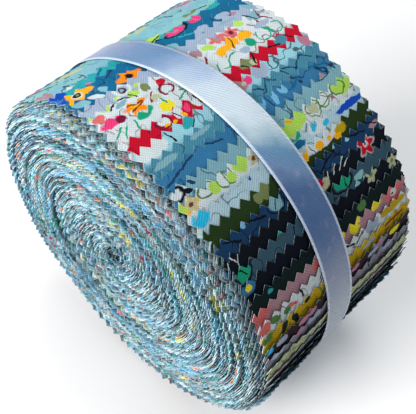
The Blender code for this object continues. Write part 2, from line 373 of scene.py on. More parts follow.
# %% Grounds and motifs, counted from the lower right over the top
PLIES = {
    9: (
        ("navy", [line(-20, 2.5, 9, 10, "slate"), blob(22, 2.5, 3, 2, "moss")]),
        ("forest", [blob(-12, 2.5, 3.5, 1.5, "green"), line(9, 2, 7, -20, "teal", 0.5)]),
    ),
    10: (
        ("dusk", [
            blob(-24, 2, 6, 2, "mauve"), blob(18, 2, 7, 2, "mauve"), blob(-4, 2, 4, 2, "pale"),
        ]),
        ("cream", [
            ring(-27, 2.2, 4, 3, "moss"), ring(-22, 2.4, 4, 3, "moss"),
            ring(-17, 2.2, 4, 3, "moss"), ring(-12, 2.4, 4, 3, "dusk"), ring(8, 2.2, 4, 3, "moss"),
            ring(13, 2.4, 4, 3, "moss"), blob(19, 2, 4, 2.6, "pink"), ring(25, 2.4, 4, 3, "moss"),
        ]),
    ),
    11: (
        ("dusk", [
            blob(-10, 2, 6, 3, "lilac"), blob(-25, 2, 5, 2, "pale"), blob(22, 2, 5, 2, "lilac"),
            blob(-16, 2, 5, 2, "mauve"), line(-20, 2, 4, 60, "plum", 0.4),
            line(13, 2, 4, 70, "plum", 0.4),
        ]),
        ("plum", [
            blob(-23, 2.4, 4.6, 3.2, "lilac"), blob(-27.5, 2, 2.6, 3, "turquoise"),
            blob(-14.5, 2.6, 4.6, 3.4, "mauve"), blob(-11, 2.4, 3.6, 3.6, "mauve"),
            ring(-13, 2.6, 8.6, 4, "ink", 0.3), blob(7, 2.2, 4, 3, "mauve"),
            flower(18, 2.2, 8.5, "dusk", "mauve"), blob(15, 3.2, 5, 2, "lilac"),
            blob(25, 2.6, 5, 2.6, "yellow"),
        ]),
    ),
    12: (
        ("mustard", [
            blob(-21, 3, 2.6, 5, "forest", 20), blob(-17, 3.5, 2.2, 5, "forest", -25),
            blob(-12, 1.5, 3, 1.6, "forest"), line(-7, 2, 6, 70, "leaf", 0.5),
            blob(-27, 2, 4, 3, "leaf"), line(25, 2.6, 9, 0, "brown", 0.9),
            blob(14, 3.2, 6, 2, "lilac"),
        ]),
        ("white", [
            blob(-27, 2.5, 5, 4, "coral"), blob(-23, 2.4, 4.4, 2.6, "leaf", 30),
            blob(-18.5, 3, 4, 2.2, "leaf", -20), blob(-16.5, 3, 3.4, 1.2, "coral", 20),
            line(-13, 2, 4, 75, "forest", 0.6), line(-5, 2, 4, -60, "forest", 0.4),
            line(6.5, 2, 5, 30, "forest", 0.8), line(10.5, 2.2, 4, -35, "forest", 0.8),
            blob(16, 2.4, 6, 4, "lilac"), blob(25, 2, 12, 3.6, "mustard"),
        ]),
    ),
    13: (
        ("pink", [
            flower(-27, 2.2, 8, "coral", "coral"), blob(-6, 3, 3, 3, "coral"),
            blob(5.5, 1, 1.6, 4, "yellow"), blob(10, 1.8, 5, 6, "yellow", 15),
            blob(19, 1.2, 4.4, 3.4, "yellow"), flower(26.5, 2.2, 9, "coral", "white", 6),
            blob(26, 2.4, 1, 0.8, "ink"), line(15, 2.6, 8, 5, "mauve", 0.6),
        ]),
        ("forest", [
            blob(14, 2.5, 4, 3, "leaf"), blob(-22, 2.4, 2, 1.4, "teal"), blob(-7.5, 2, 3, 2, "ink"),
        ]),
    ),
    14: (
        ("navy", [
            blob(-27, 1.9, 5, 3.6, "blue"), blob(-27, 2, 2.2, 1.8, "yellow"),
            flower(20.5, 1.6, 5.2, "cream", "moss"), blob(16, 0.6, 5, 1.4, "mint"),
            flower(29.5, 2.8, 4.6, "cream", "moss"),
        ]),
        ("slate", [
            blob(-26, 1.8, 4.6, 4.8, "green"), ring(-26, 1.8, 5.2, 5.4, "ink", 0.5),
            line(-26, 1.8, 3, 60, "ink", 0.5), blob(-12, 0.2, 2.8, 1.4, "green"),
            line(-8, 2, 4, 120, "ink", 0.4), blob(11, 1.6, 6.5, 3.6, "green", 10),
            ring(11, 1.6, 7.2, 4.4, "ink", 0.5), line(12, 1.6, 3, 100, "ink", 0.3),
            blob(17, 3.2, 4.4, 1.8, "mint"),
        ]),
    ),
    15: (
        ("ink", [
            line(-28, 1, 4.4, 100, "white", 0.3), line(-26.6, 1.2, 4.4, 60, "white", 0.3),
            line(-25, 2, 4, 110, "white", 0.3), blob(5.5, 2.6, 6.5, 4.2, "cream"),
            blob(5.2, 1.9, 3.8, 2.4, "crimson"), line(7, 0.4, 4, 105, "white", 0.28),
            line(9.3, 0.6, 4, 120, "white", 0.28), line(11.6, 1, 4, 132, "white", 0.28),
            line(14, 1.3, 4, 143, "white", 0.28), line(16, 1.8, 4, 153, "white", 0.28),
            flower(24, 1.9, 7.6, "white", "white"), flower(24, 1.9, 6.6, "crimson", "white"),
            blob(24, 1.9, 1, 0.9, "crimson"),
        ]),
        ("denim", [
            blob(-8.5, 1.8, 5.2, 4.6, "haze", 30), line(-8.5, 1.8, 4, 120, "ink", 0.3),
            ring(-8.5, 1.8, 5.8, 5.2, "ink", 0.3), blob(-19.6, 0.8, 2, 1.8, "sky", 60),
            line(-15, 2, 6, 20, "navy", 0.6), line(-24, 2.2, 6, 25, "navy", 0.5),
            blob(14, 0.4, 2.2, 2.2, "ice"), blob(19.5, 1.6, 1.8, 1.4, "ice"),
            line(11, 2.4, 8, 160, "navy", 0.5), line(23, 2, 7, 15, "navy", 0.5),
            blob(29.5, 3, 4, 2, "pink"), line(29, 2.2, 5, 30, "ink", 0.4),
        ]),
    ),
    16: (
        ("olive", [
            blob(-9, 2, 3, 5, "moss", 20), blob(-11.5, 2.6, 3, 3, "moss", -30),
            blob(12.5, 1.4, 17, 4.4, "white"), blob(6.5, 2, 1.8, 4, "gold", 20),
            blob(11.5, 2.4, 3, 2.2, "gold"), blob(13.4, 1, 1.2, 1, "gold"),
            blob(16.5, 1.2, 1.4, 1.1, "gold"), blob(15.2, 2.4, 1.5, 1.3, "gold"),
            blob(20, 2.2, 4.4, 3, "mustard"), blob(18, 3.4, 3, 1.6, "gold"),
            line(9, 2, 3, 70, "ink", 0.3),
        ]),
        ("pale", [
            blob(-27, 1.6, 6, 4.6, "turquoise"), blob(-10.5, 1.6, 1, 1.6, "royal"),
            blob(6.5, 0.6, 4.6, 3, "green"), blob(6.5, 3, 5, 2.2, "cobalt"),
            blob(14.5, 2, 8, 4.4, "white"), blob(13, 1.6, 2, 3, "turquoise", 30),
            blob(17, 3, 2.4, 1.6, "turquoise"), blob(26, 0.9, 9, 2.4, "white"),
            blob(26.5, 3, 12, 2, "royal"),
        ]),
    ),
    17: (
        ("white", [
            blob(-29, 2, 3, 3.6, "lime"), flower(-26.2, 2.2, 5.4, "gold", "cream"),
            flower(-26.2, 2.2, 4.2, "cream", "brown"), ring(-21, 1.6, 5, 3.2, "leaf", 0.3),
            blob(-18.6, 2.4, 3.4, 3.8, "lime", 30), ring(-16, 2.2, 3, 4, "leaf", 0.3),
            ring(-14, 2, 2.6, 4.4, "leaf", 0.3), blob(-13.6, 3, 3, 2.4, "lime"),
            blob(-9.5, 1.8, 5, 4.6, "lime"), flower(-5.6, 2.8, 4, "cream", "brown"),
            blob(8.5, 2, 12.5, 6, "lime", -5), line(8, 0.9, 3.6, 25, "orange", 0.5),
            ring(17, 2.2, 4.4, 4.6, "leaf", 0.3), blob(17, 2.2, 3.4, 3.4, "cream"),
            ring(21, 2.2, 4, 3.6, "leaf", 0.3), line(22, 2.8, 8, 170, "leaf"),
            blob(28.5, 2, 8, 5, "lime"), ring(27, 2, 5, 3.4, "leaf", 0.3),
        ]),
        ("haze", [
            blob(-27, 2.2, 5, 3.2, "white"), ring(-28, 2, 4.4, 3.2, "navy", 0.6),
            blob(-25, 2.8, 2.6, 1.4, "navy", 20), blob(-22.8, 1.6, 2.6, 1, "denim", 40),
            blob(25.5, 0.6, 4, 1.6, "pink"), ring(25.5, 0.6, 5, 2.2, "slate", 0.3),
        ]),
    ),
    18: (
        ("blue", [
            line(-22, 2.4, 13, 165, "denim", 0.6), line(-12, 1.6, 8, 20, "denim", 0.6),
            blob(-27, 0.8, 4, 1.6, "steel"), blob(6.5, 1.6, 2.2, 3.4, "sky", 20),
            blob(10.4, 2.4, 1.8, 4.2, "sky", 10), blob(13.8, 1.8, 2.4, 3.8, "sky", -25),
            line(8.5, 2.4, 4, 80, "denim", 0.4), line(19, 2, 7, 150, "cobalt", 0.7),
            line(27, 2.2, 6, 20, "cobalt", 0.7),
        ]),
        ("steel", [
            line(8, 1.6, 5, 30, "denim", 0.4), line(11, 2, 5, -50, "denim", 0.4),
            line(13, 1.4, 4, 40, "denim", 0.4), line(20, 2.2, 5, 30, "denim", 0.45),
            line(23, 2.2, 5, -35, "denim", 0.45), line(26, 1.8, 5, 35, "denim", 0.4),
            line(18, 2.6, 3, 60, "denim", 0.4), blob(-24, 2.6, 8, 2, "haze"),
            blob(-12, 1.8, 7, 1.6, "haze"),
        ]),
    ),
    19: (
        ("ice", [
            blob(-24.5, 2.2, 10, 5.2, "white"), line(-18.7, 2.2, 4, 80, "navy", 0.45),
            blob(-12.5, 1.8, 4.2, 3, "teal", -30), line(-11, 2.4, 4, -40, "forest"),
            blob(5.6, 1.8, 5.2, 5, "pink"), blob(8.4, 2.2, 3, 2.6, "rose"),
            blob(6.6, 2.4, 1.6, 1.4, "cream"), blob(13, 2, 5.6, 4.8, "lilac"),
            line(16.4, 1.8, 4, 100, "ink", 0.45), blob(30, 2.4, 4, 4.6, "mauve"),
        ]),
        ("crimson", [
            blob(-17.2, 1.6, 3.6, 3.2, "white"), blob(-16, 3.4, 4, 1.6, "gold"),
            ring(-17.2, 2, 4, 3.4, "maroon", 0.5), blob(-12.4, 2, 3, 4, "white", 20),
            line(-13, 2, 4, 70, "plum", 0.5), blob(-11.4, 3.2, 1.2, 1.6, "gold"),
            blob(-9.6, 2.2, 1.8, 3, "rose", 30), line(-8, 2, 4, 110, "brown", 0.5),
            blob(-6.4, 2, 3.2, 4, "white"), line(-5.6, 2, 4, 80, "plum", 0.5),
            blob(-29.4, 1.2, 3, 2.4, "white"), blob(12, 2, 5.4, 3.4, "moss"),
            line(10.4, 1.8, 4, 60, "ink", 0.5), blob(13.6, 2.8, 2.4, 2, "cream"),
            line(14.6, 1.8, 4, 110, "ink", 0.5), blob(24.6, 2.2, 4.4, 3.2, "steel"),
            line(22, 2.4, 4, 20, "ink", 0.6), line(27.2, 1.8, 4, 60, "ink", 0.5),
        ]),
    ),
    20: (
        ("white", [
            blob(-17.8, 1.2, 6, 3, "green", -15), line(-24.6, 2, 6, 125, "green", 0.5),
            line(-27, 2, 6, 150, "green", 0.5), line(-21.6, 2.4, 4, 100, "green", 0.4),
            blob(-12.2, 3, 4.6, 4, "yellow"), line(-12, 1, 3, 80, "green", 0.5),
            line(-7.4, 0.8, 5, 25, "green", 0.5), line(-6.6, 2.8, 5, 160, "green", 0.5),
            line(10, 2.8, 7, 165, "green", 0.5, 2), blob(15.6, 2.8, 3.4, 2.4, "lilac"),
            blob(18.8, 2, 3.2, 3.6, "green"), line(6.4, 2, 4, 120, "green", 0.5),
            ring(23.6, 2, 4, 4.2, "green", 0.4), ring(28, 2.2, 4, 4, "green", 0.4),
            line(26, 2, 5, 70, "green", 0.4),
        ]),
        ("white", [
            blob(-26, 2, 7, 3, "rose"), blob(-23.6, 2.6, 3, 2.4, "maroon"),
            flower(-18.2, 1.4, 7.6, "orange", "gold", 6), line(-18.4, 1.2, 6, 10, "brown", 0.5),
            line(-18, 2.4, 5, 170, "brown", 0.4), blob(-8.2, 0, 3.4, 3.4, "crimson", 30),
            line(-13.4, 2.4, 4, -50, "maroon", 0.6), ring(-8.6, 2.6, 3.8, 3.2, "maroon", 0.6),
            blob(-12.6, 3, 3, 2, "cream"), blob(11.2, 3, 5, 3.2, "gold"),
            blob(15, 2.2, 4.2, 5, "gold"), blob(19.4, 2.8, 5.2, 3.6, "gold"),
            line(15, 2, 6, 110, "brown", 0.5), blob(17.4, 0.6, 3, 2, "coral"),
            line(5.4, 2.8, 4, -50, "maroon", 0.6), line(24, 2, 5, 60, "maroon", 0.5),
            line(26, 1.6, 5, 100, "maroon", 0.5), line(28.6, 1.6, 5, 60, "maroon", 0.5),
            blob(26, 2.8, 6, 2.2, "lilac"),
        ]),
    ),
    21: (
        ("white", [
            blob(-27.4, 2.6, 3.8, 3.4, "coral"), blob(-29, 0.4, 2.4, 2.2, "lime"),
            blob(-24, 1, 2.6, 2.2, "lime"), line(-21.6, 1.2, 5, -30, "plum", 0.45),
            line(-18, 1.6, 5, 25, "plum", 0.5), blob(-20, 2.4, 4, 1.8, "haze"),
            blob(-15.6, 1.6, 3, 2.8, "lime"), blob(-12, 2, 3, 3.6, "moss"),
            line(-16, 2.2, 4, 70, "plum", 0.4), blob(-8, 3.2, 3, 2.6, "crimson", 30),
            blob(5.6, 2.2, 3.6, 4, "pink"), blob(9.4, 3, 4, 2.4, "lime", 30),
            flower(13.6, 2, 6.6, "coral", "pink", 6), flower(18, 3, 5.6, "coral", "maroon", 6),
            blob(22, 1.6, 2, 4, "lime", -30), blob(27.6, 2.6, 5, 4.6, "haze"),
            line(26.4, 2, 6, 70, "plum", 0.4), line(29, 2, 6, 110, "maroon", 0.4),
        ]),
        ("lilac", [
            ring(-16.4, 2.4, 4, 4, "white", 0.9), ring(-16.4, 2.6, 1.4, 1.8, "plum", 0.4),
            blob(-19.4, 3.8, 2, 1.4, "lime"), blob(-12.6, 3.6, 2.6, 1.4, "lime"),
            blob(24.6, 1.4, 3, 1.6, "pink"), line(21, 2.6, 6, 12, "haze", 0.6),
            blob(30, 2, 3.4, 4, "haze"),
        ]),
    ),
    22: (
        ("cobalt", [
            blob(-26, 2.6, 5, 2.8, "aqua", 30), blob(-21.6, 3.2, 5, 2, "white", 40),
            blob(-18.6, 2, 3, 2.6, "aqua", 60), flower(-11, 3.2, 8.4, "orange", "ink", 4),
            blob(4.6, 2.6, 4, 3.4, "aqua", 40), blob(14.8, 3.4, 5.4, 3, "lilac", -10),
            blob(23, 3.2, 5.2, 3, "lilac", 10), line(10.6, 2, 5, 30, "teal", 0.7),
        ]),
        ("cobalt", [
            flower(-24.2, 2.6, 10.5, "gold", "white"), blob(-24.2, 2.6, 2.6, 2.2, "ink"),
            blob(-24.2, 2.6, 1.2, 1, "moss"), blob(-29, 0.8, 5, 5, "royal"),
            blob(-18.6, 0.6, 3, 2, "mauve"), line(-13, 1.6, 6, 150, "denim", 0.8),
            blob(10.6, 1.6, 7, 4, "rose"), ring(10.6, 1.6, 7.8, 4.8, "ink", 0.5),
            blob(10.6, 1.8, 2.4, 1.4, "mauve"), blob(17.6, 2, 4.6, 3.6, "rose"),
            line(17.6, 2, 3, 80, "mauve", 0.6), line(6, 1, 5, 20, "ink", 0.6),
            blob(25.6, 1.4, 5, 2.6, "teal"),
        ]),
    ),
    23: (
        ("teal", [
            blob(-27.2, 1.6, 6, 5, "royal"), blob(-23, 0.4, 4, 2.6, "white"),
            line(-14, 2.4, 6, 140, "cobalt", 0.7), blob(19, 1.6, 26, 5.4, "mint"),
            blob(5.2, 2.2, 6, 3.2, "lime", -15), line(5, 3, 6, 165, "forest", 0.5),
            blob(20.4, 1.2, 5.4, 2.6, "moss"), line(24, 1.6, 4, 20, "olive", 0.5),
        ]),
        ("aqua", [
            blob(-28.4, 1.6, 4.4, 6, "pink"), line(-21, 2.4, 6, 60, "steel", 0.5),
            blob(18.6, 2.4, 6, 2.4, "mint"), blob(-20, 2, 7, 2.6, "mint", 30),
        ]),
    ),
    24: (
        ("aqua", [
            blob(-28, 2.2, 4, 4, "pink"), line(-20, 2, 8, 50, "steel", 0.6),
            blob(13, 2, 5, 2.6, "haze"), line(18, 2.5, 6, 60, "navy", 0.8),
            blob(25, 2.2, 6, 4, "lilac"),
        ]),
        ("mint", [
            blob(-16, 2.4, 9, 3, "cream", 20), line(-24, 2, 7, 40, "forest", 0.7),
            blob(10, 2, 6, 3, "cream", -30), line(17, 2, 7, 60, "navy", 0.8),
            blob(27, 2, 6, 4, "mauve"),
        ]),
    ),
    25: (
        ("mint", [
            blob(-18, 2, 8, 3, "cream", 30), line(-25, 2, 6, 60, "navy", 0.8),
            blob(10, 2, 6, 2.6, "cream", 20), line(14, 2, 6, 50, "navy", 0.8),
            blob(24, 2, 6, 3, "mauve"),
        ]),
        ("steel", [
            line(-8, 2, 7, 30, "plum", 0.6), blob(8, 2, 6, 2.4, "cream"),
            blob(-24, 2, 6, 3, "mauve"), line(20, 2, 6, -40, "teal", 0.7),
        ]),
    ),
}
print(sum(len(m) for pair in PLIES.values() for _, m in pair), "motifs placed by hand")

# %% [markdown]
# The strips round the back and underneath carry on the same family of blues. Their motifs
# are chosen by counting, so that every run gives the same prints.

# %% Prints round the back
MOTIFS_PER_PLY = 6
MOTIF_SPAN = 62
HIDDEN_GROUNDS = ("steel", "blue", "haze", "sky", "steel", "denim", "sky", "pale")
HIDDEN_DYES = ("white", "cream", "navy", "lilac", "teal", "pink", "gold")


def hidden_ply(seed):
    """Choose a ground and some motifs for a ply that lies round the back or underneath."""
    ground = HIDDEN_GROUNDS[seed % len(HIDDEN_GROUNDS)]
    motifs = []
    for index in range(MOTIFS_PER_PLY):
        dye = HIDDEN_DYES[(seed * 3 + index) % len(HIDDEN_DYES)]
        other = HIDDEN_DYES[(seed + index * 2 + 3) % len(HIDDEN_DYES)]
        across = (seed * 17 + index * 11) % MOTIF_SPAN - MOTIF_SPAN // 2
        size = 3.5 + (seed + index) % 4
        if index % 3 == 0:
            motifs.append(flower(across, 2.4, size * 1.3, dye, other))
        elif index % 3 == 1:
            motifs.append(blob(across, 2.0, size, 2.6, dye, 25 * index))
        else:
            motifs.append(ring(across, 2.2, size, 3.4, dye, 0.5))
    return ground, motifs


def plies_of(number):
    """Return the outer and the inner ply of a strip: each a ground and its motifs."""
    return PLIES.get(number) or (hidden_ply(2 * number), hidden_ply(2 * number + 1))


print("a ply round the back has", len(plies_of(1)[0][1]), "motifs")

# %% [markdown]
# Thin pen lines wander over the grounds, each in a darker relative of its ground.

# %% Pen dyes
PEN_DYES = {
    "white": "maroon", "ice": "forest", "aqua": "forest", "mint": "forest", "lilac": "dusk",
    "pale": "slate", "haze": "denim", "steel": "denim", "blue": "navy", "cobalt": "denim",
    "sky": "cobalt", "teal": "cobalt", "denim": "navy", "slate": "ink", "pink": "mauve",
    "cream": "moss", "mustard": "brown", "crimson": "maroon", "dusk": "plum",
}
print(len(PEN_DYES), "pen dyes")

# %% [markdown]
# ## Cut edges and the two flat faces
#
# On the flat faces only the cut edges show. The thread ends there have lost most of their
# print, so each strip gets a mix of a few dyes, and the mix changes slowly from strip to
# strip. Where a colour of the prints keeps coming back at the same place in every turn, it
# shows as a patch on the front face. The patches are drawn once, in a node group that all
# the cloths share, which keeps the forty materials quick to build.

# %% Colours of the cut edges
ACCENTS = ("crimson", "yellow", "pink", "teal", "white", "navy", "orange", "lime")
EDGE_SHARES = (0.02, 0.34, 0.47, 0.60, 0.69, 0.78, 0.87, 0.94)
EDGE_TONES = (
    (2, "ice", ("pink", "leaf")),
    (4, "teal", ("navy", "green")),
    (8, "pale", ("pink", "cream")),
    (10, "haze", ("orange", "cream")),
    (14, "pale", ("yellow", "ice")),
    (15, "denim", ("teal", "maroon")),
    (18, "haze", ("green", "coral")),
    (21, "steel", ("navy", "crimson")),
    (24, "pale", ("green", "white")),
    (28, "sky", ("ice", "white")),
    (30, "slate", ("navy", "teal")),
    (33, "ice", ("pink", "cream")),
    (35, "steel", ("orange", "navy")),
    (39, "sky", ("white", "lilac")),
)
print(len(EDGE_TONES), "mixes of thread ends")


# %% Patches of colour on the front face
def face_mark(angle, share, length, width, dye):
    """Return a patch of colour on the front face, at an angle and a share of the radius."""
    turn = math.radians(angle)
    radius = share * roll_radius / MM
    return blob(radius * math.cos(turn), radius * math.sin(turn), length, width, dye, angle - 90)


FACE_MARKS = tuple(face_mark(*row) for row in (
    (258, 0.77, 22, 6.5, "white"), (228, 0.62, 22, 5.0, "sky"), (200, 0.61, 12, 5.0, "sky"),
    (40, 0.40, 12, 4.0, "sky"), (78, 0.37, 11, 3.6, "yellow"), (-30, 0.50, 7, 2.6, "yellow"),
    (-52, 0.50, 9, 2.6, "gold"), (-80, 0.46, 11, 2.4, "cream"), (-80, 0.28, 4.5, 2.4, "orange"),
    (-92, 0.56, 5, 2.2, "maroon"), (232, 0.38, 8, 4.0, "cream"), (198, 0.88, 5, 2.4, "orange"),
    (157, 0.84, 5, 2.2, "orange"), (186, 0.56, 5, 2.6, "green"), (197, 0.76, 6, 3.0, "leaf"),
    (13, 0.46, 16, 2.2, "teal"), (118, 0.69, 12, 2.2, "cream"), (97, 0.69, 12, 2.2, "cream"),
    (76, 0.67, 12, 2.0, "yellow"), (54, 0.62, 14, 2.0, "cream"), (32, 0.56, 14, 1.8, "yellow"),
    (5, 0.54, 14, 1.8, "cream"), (-108, 0.46, 10, 2.4, "cream"), (30, 0.85, 8, 1.8, "yellow"),
    (50, 0.93, 8, 1.8, "rose"), (250, 0.95, 60, 4.6, "steel"),
))
print(len(FACE_MARKS), "patches on the front face")

# %% [markdown]
# A motif is painted by a mask: how far a point is from the motif's middle, sharpened so
# that the colour ends within a tenth of a millimetre or so, as a printed shape does.

# %% Painting one motif
SOFT_EDGE = 6.0
HEART_SHARE = 0.34
PETAL_WAVE = 0.2


def oval_distance(sketch, dx, dy, turn, width, height):
    """Return 0 in an oval's middle and 1 on its outline, the oval being turned."""
    along = (dx * math.cos(turn) + dy * math.sin(turn)) / (width / 2)
    off = (dy * math.cos(turn) - dx * math.sin(turn)) / (height / 2)
    return sketch.math("SQRT", along * along + off * off)


def flower_on(sketch, color, dx, dy, here, size, petals, heart, count):
    """Paint petals round a heart."""
    angle = sketch.math("ARCTAN2", dy, dx)
    lobes = sketch.math("COSINE", angle * count) * PETAL_WAVE + (1 - PETAL_WAVE)
    far = sketch.math("SQRT", dx * dx + dy * dy) / (size / 2)
    petal = sketch.clamp((lobes - far) * SOFT_EDGE) * here
    center = sketch.clamp((HEART_SHARE - far) * 8.0) * here
    return sketch.mix(center, sketch.mix(petal, color, DYES[petals]), DYES[heart])


def line_on(sketch, color, dx, dy, here, length, tilt, dye, wide, bend):
    """Paint a pen stroke, straight or with one wave in it."""
    turn = math.radians(tilt)
    along = dx * math.cos(turn) + dy * math.sin(turn)
    off = dy * math.cos(turn) - dx * math.sin(turn)
    if bend:
        off = off + sketch.math("SINE", along * (FULL_TURN / length)) * (bend / 2)
    beside = sketch.math("ABSOLUTE", off) / (wide / 2)
    ends = sketch.math("ABSOLUTE", along) / (length / 2)
    mask = sketch.clamp((1.0 - beside) * 2.0 + 0.5) * sketch.clamp((1.0 - ends) * SOFT_EDGE)
    return sketch.mix(mask * here, color, DYES[dye])


def blob_on(sketch, color, dx, dy, here, width, height, dye, tilt):
    """Paint a filled oval."""
    far = oval_distance(sketch, dx, dy, math.radians(tilt), width, height)
    return sketch.mix(sketch.clamp((1.0 - far) * SOFT_EDGE) * here, color, DYES[dye])


def ring_on(sketch, color, dx, dy, here, width, height, dye, wide):
    """Paint an oval's outline."""
    far = oval_distance(sketch, dx, dy, 0.0, width, height)
    half_line = wide / min(width, height)
    inside = half_line * 1.6 - sketch.math("ABSOLUTE", far - 1.0)
    return sketch.mix(sketch.clamp(inside * (1.0 / half_line)) * here, color, DYES[dye])


MOTIF_PAINTERS = {"flower": flower_on, "line": line_on, "blob": blob_on, "ring": ring_on}


def draw_motif(sketch, color, motif, across, back, here):
    """Paint one motif over a colour, where the mask here allows it."""
    kind, x, y, *rest = motif
    return MOTIF_PAINTERS[kind](sketch, color, across - x, back - y, here, *rest)


def face_mark_group():
    """Return a node group that paints all the face marks over a colour."""
    sketch = Sketch("face_marks", group=True)
    panel = sketch.tree.interface
    for name, kind in (("Color", "Color"), ("Share", "Float"), ("X", "Float"), ("Z", "Float")):
        panel.new_socket(name=name, in_out="INPUT", socket_type=f"NodeSocket{kind}")
    panel.new_socket(name="Color", in_out="OUTPUT", socket_type="NodeSocketColor")
    given = sketch.node("NodeGroupInput")
    color, share, x, z = [sketch.out(given, index) for index in range(4)]
    for motif in FACE_MARKS:
        color = draw_motif(sketch, color, motif, x, z, share)
    sketch.node("NodeGroupOutput", {}, {0: color})
    return sketch.tree


# %% [markdown]
# ## The cloth material
#
# Each piece of cloth carries two numbers at every point: the distance from its fold, which
# is negative on the inner ply, and the place across. They are stored as a UV map from the
# flat strip, so the print bends with the cloth. Every step below paints over the last: the
# ground with its pen lines, spots that are hidden in the pile, the motifs, the weave, the
# faint back of the cloth, the thread ends of the cut edges with painted shade and light on
# them, and a pale frayed lip.

# %% The printed side
PER_METRE = 1000.0
PRINT_SHIFT = 1.4
PRINT_SQUEEZE = 0.975
PRINT_WANDER = (1.5, 1.3)
PILE_START = 9.0


def printed_ground(sketch, number, outer, on_cloth):
    """Return the dye of the ground with thin pen lines wandering over it."""
    (outer_ground, _), (inner_ground, _) = plies_of(number)
    color = sketch.mix(outer, DYES[inner_ground], DYES[outer_ground])
    inner_pen, outer_pen = [
        DYES[PEN_DYES.get(ground, ground)] for ground in (inner_ground, outer_ground)
    ]
    contour, _ = sketch.noise(on_cloth, 0.20, 1.0)
    patch, _ = sketch.noise(on_cloth, 0.07, 0.0)
    pen = sketch.clamp((0.022 - sketch.math("ABSOLUTE", contour - 0.5)) * 70.0)
    pen = pen * sketch.clamp((patch - 0.42) * 8.0) * 0.8
    return sketch.mix(pen, color, sketch.mix(outer, inner_pen, outer_pen))


def hidden_spots(sketch, color, number, on_cloth, back):
    """Scatter spots over the part of the strip that lies deep in the roll."""
    scatter = sketch.node(
        "ShaderNodeTexVoronoi",
        {"feature": "F1"},
        {"Vector": on_cloth, "Scale": 0.16, "Randomness": 1.0},
    )
    spot = sketch.clamp((0.36 - sketch.out(scatter, "Distance")) * 9.0)
    pick, _, _ = sketch.split(sketch.out(scatter, "Color"))
    first = DYES[ACCENTS[number % len(ACCENTS)]]
    second = DYES[ACCENTS[(number * 3 + 1) % len(ACCENTS)]]
    spots = sketch.mix(sketch.math("GREATER_THAN", pick, 0.5), first, second)
    deep = sketch.clamp((back - PILE_START) * 0.5)
    return sketch.mix(spot * deep, color, spots)


# %% The cut edges
# Painted shade colour for the valleys between the teeth.
PAINTED_GAP_SHADE_COLOR = (0.006, 0.032, 0.045)
BACK_WASH = (0.30, 0.44, 0.50)
LIP_COLOR = (0.52, 0.68, 0.74)
EDGE_ZONE = 6.0
# Where painted shade towards the rim of the flat faces begins, in millimetres.
PAINTED_RIM_SHADE_START = 50.5


def fleck_color(sketch, pick, number):
    """Return the mixed colour of cut thread ends, which depends on the strip's print."""
    index = STRIP_COUNT - number
    tone, accents = next(row[1:] for row in EDGE_TONES if index <= row[0])
    ramp = sketch.node("ShaderNodeValToRGB", {}, {0: pick})
    ramp.color_ramp.interpolation = "CONSTANT"
    stops = ramp.color_ramp.elements
    dyes = (tone, "sky", "pale", "white", "teal", *accents, "ink")
    for place, dye in zip(EDGE_SHARES, dyes):
        stops.new(place).color = (*DYES[dye], 1.0)
    stops.remove(stops[0])
    return sketch.out(ramp)


def thread_ends(sketch, color, number, across, inset, face_marks, face_x, face_z, warp):
    """Return the colour of a strip's cut threads on the flat faces, with painted shade in the gaps
    between the teeth, in the grooves and towards the rim, and painted light that is brighter on the
    left.
    """
    radius = sketch.math("SQRT", face_x * face_x + face_z * face_z)
    turn = sketch.math("ARCTAN2", face_z, face_x)
    clumps = sketch.join(turn * 11.0, radius * 1.7, across * 1.1 + float(number) * 0.12)
    cells = sketch.node("ShaderNodeTexVoronoi", {"feature": "F1"}, {"Vector": clumps, "Scale": 1.0})
    pick, shift, _ = sketch.split(sketch.out(cells, "Color"))
    in_front = sketch.math("LESS_THAN", across, 0.0) * sketch.math("GREATER_THAN", shift, 0.25)
    warped_x, warped_z = face_x + warp[0] * 4.0 - 2.0, face_z + warp[1] * 4.0 - 2.0
    marks = sketch.node(
        "ShaderNodeGroup",
        {"node_tree": face_marks},
        {0: fleck_color(sketch, pick, number), 1: in_front, 2: warped_x, 3: warped_z},
    )
    edge_color = sketch.mix(0.15, sketch.out(marks), color)
    # Painted light and shade: a soft noise makes bright tips and dark gaps among the thread ends.
    painted_light_noise, _ = sketch.noise(clumps, 0.7, 2.0)
    # Painted shade: strips in a groove get much darker thread ends.
    groove = groove_depth(STRIP_COUNT - number)
    tone = (sketch.clamp(painted_light_noise * 2.8 - 0.8) * 1.1 + 0.45) * (1.0 - 0.88 * groove)
    # Painted shade: the thread ends darken towards the rim of the face.
    painted_rim_shade = sketch.clamp((radius - PAINTED_RIM_SHADE_START) * 0.4) * 0.45
    # Painted light: the thread ends are brighter towards the left of the face and darker towards
    # the right.
    tone = tone * (1.12 - face_x * 0.004) * (1.0 - painted_rim_shade)
    edge_color = sketch.mix(1.0, edge_color, sketch.join(tone, tone, tone), "MULTIPLY")
    # Painted shade: the valleys between the teeth are darkened towards a near-black teal.
    painted_gap_shade = sketch.clamp((inset - 0.6) * 0.8)
    return sketch.mix(painted_gap_shade * 0.9, edge_color, PAINTED_GAP_SHADE_COLOR)


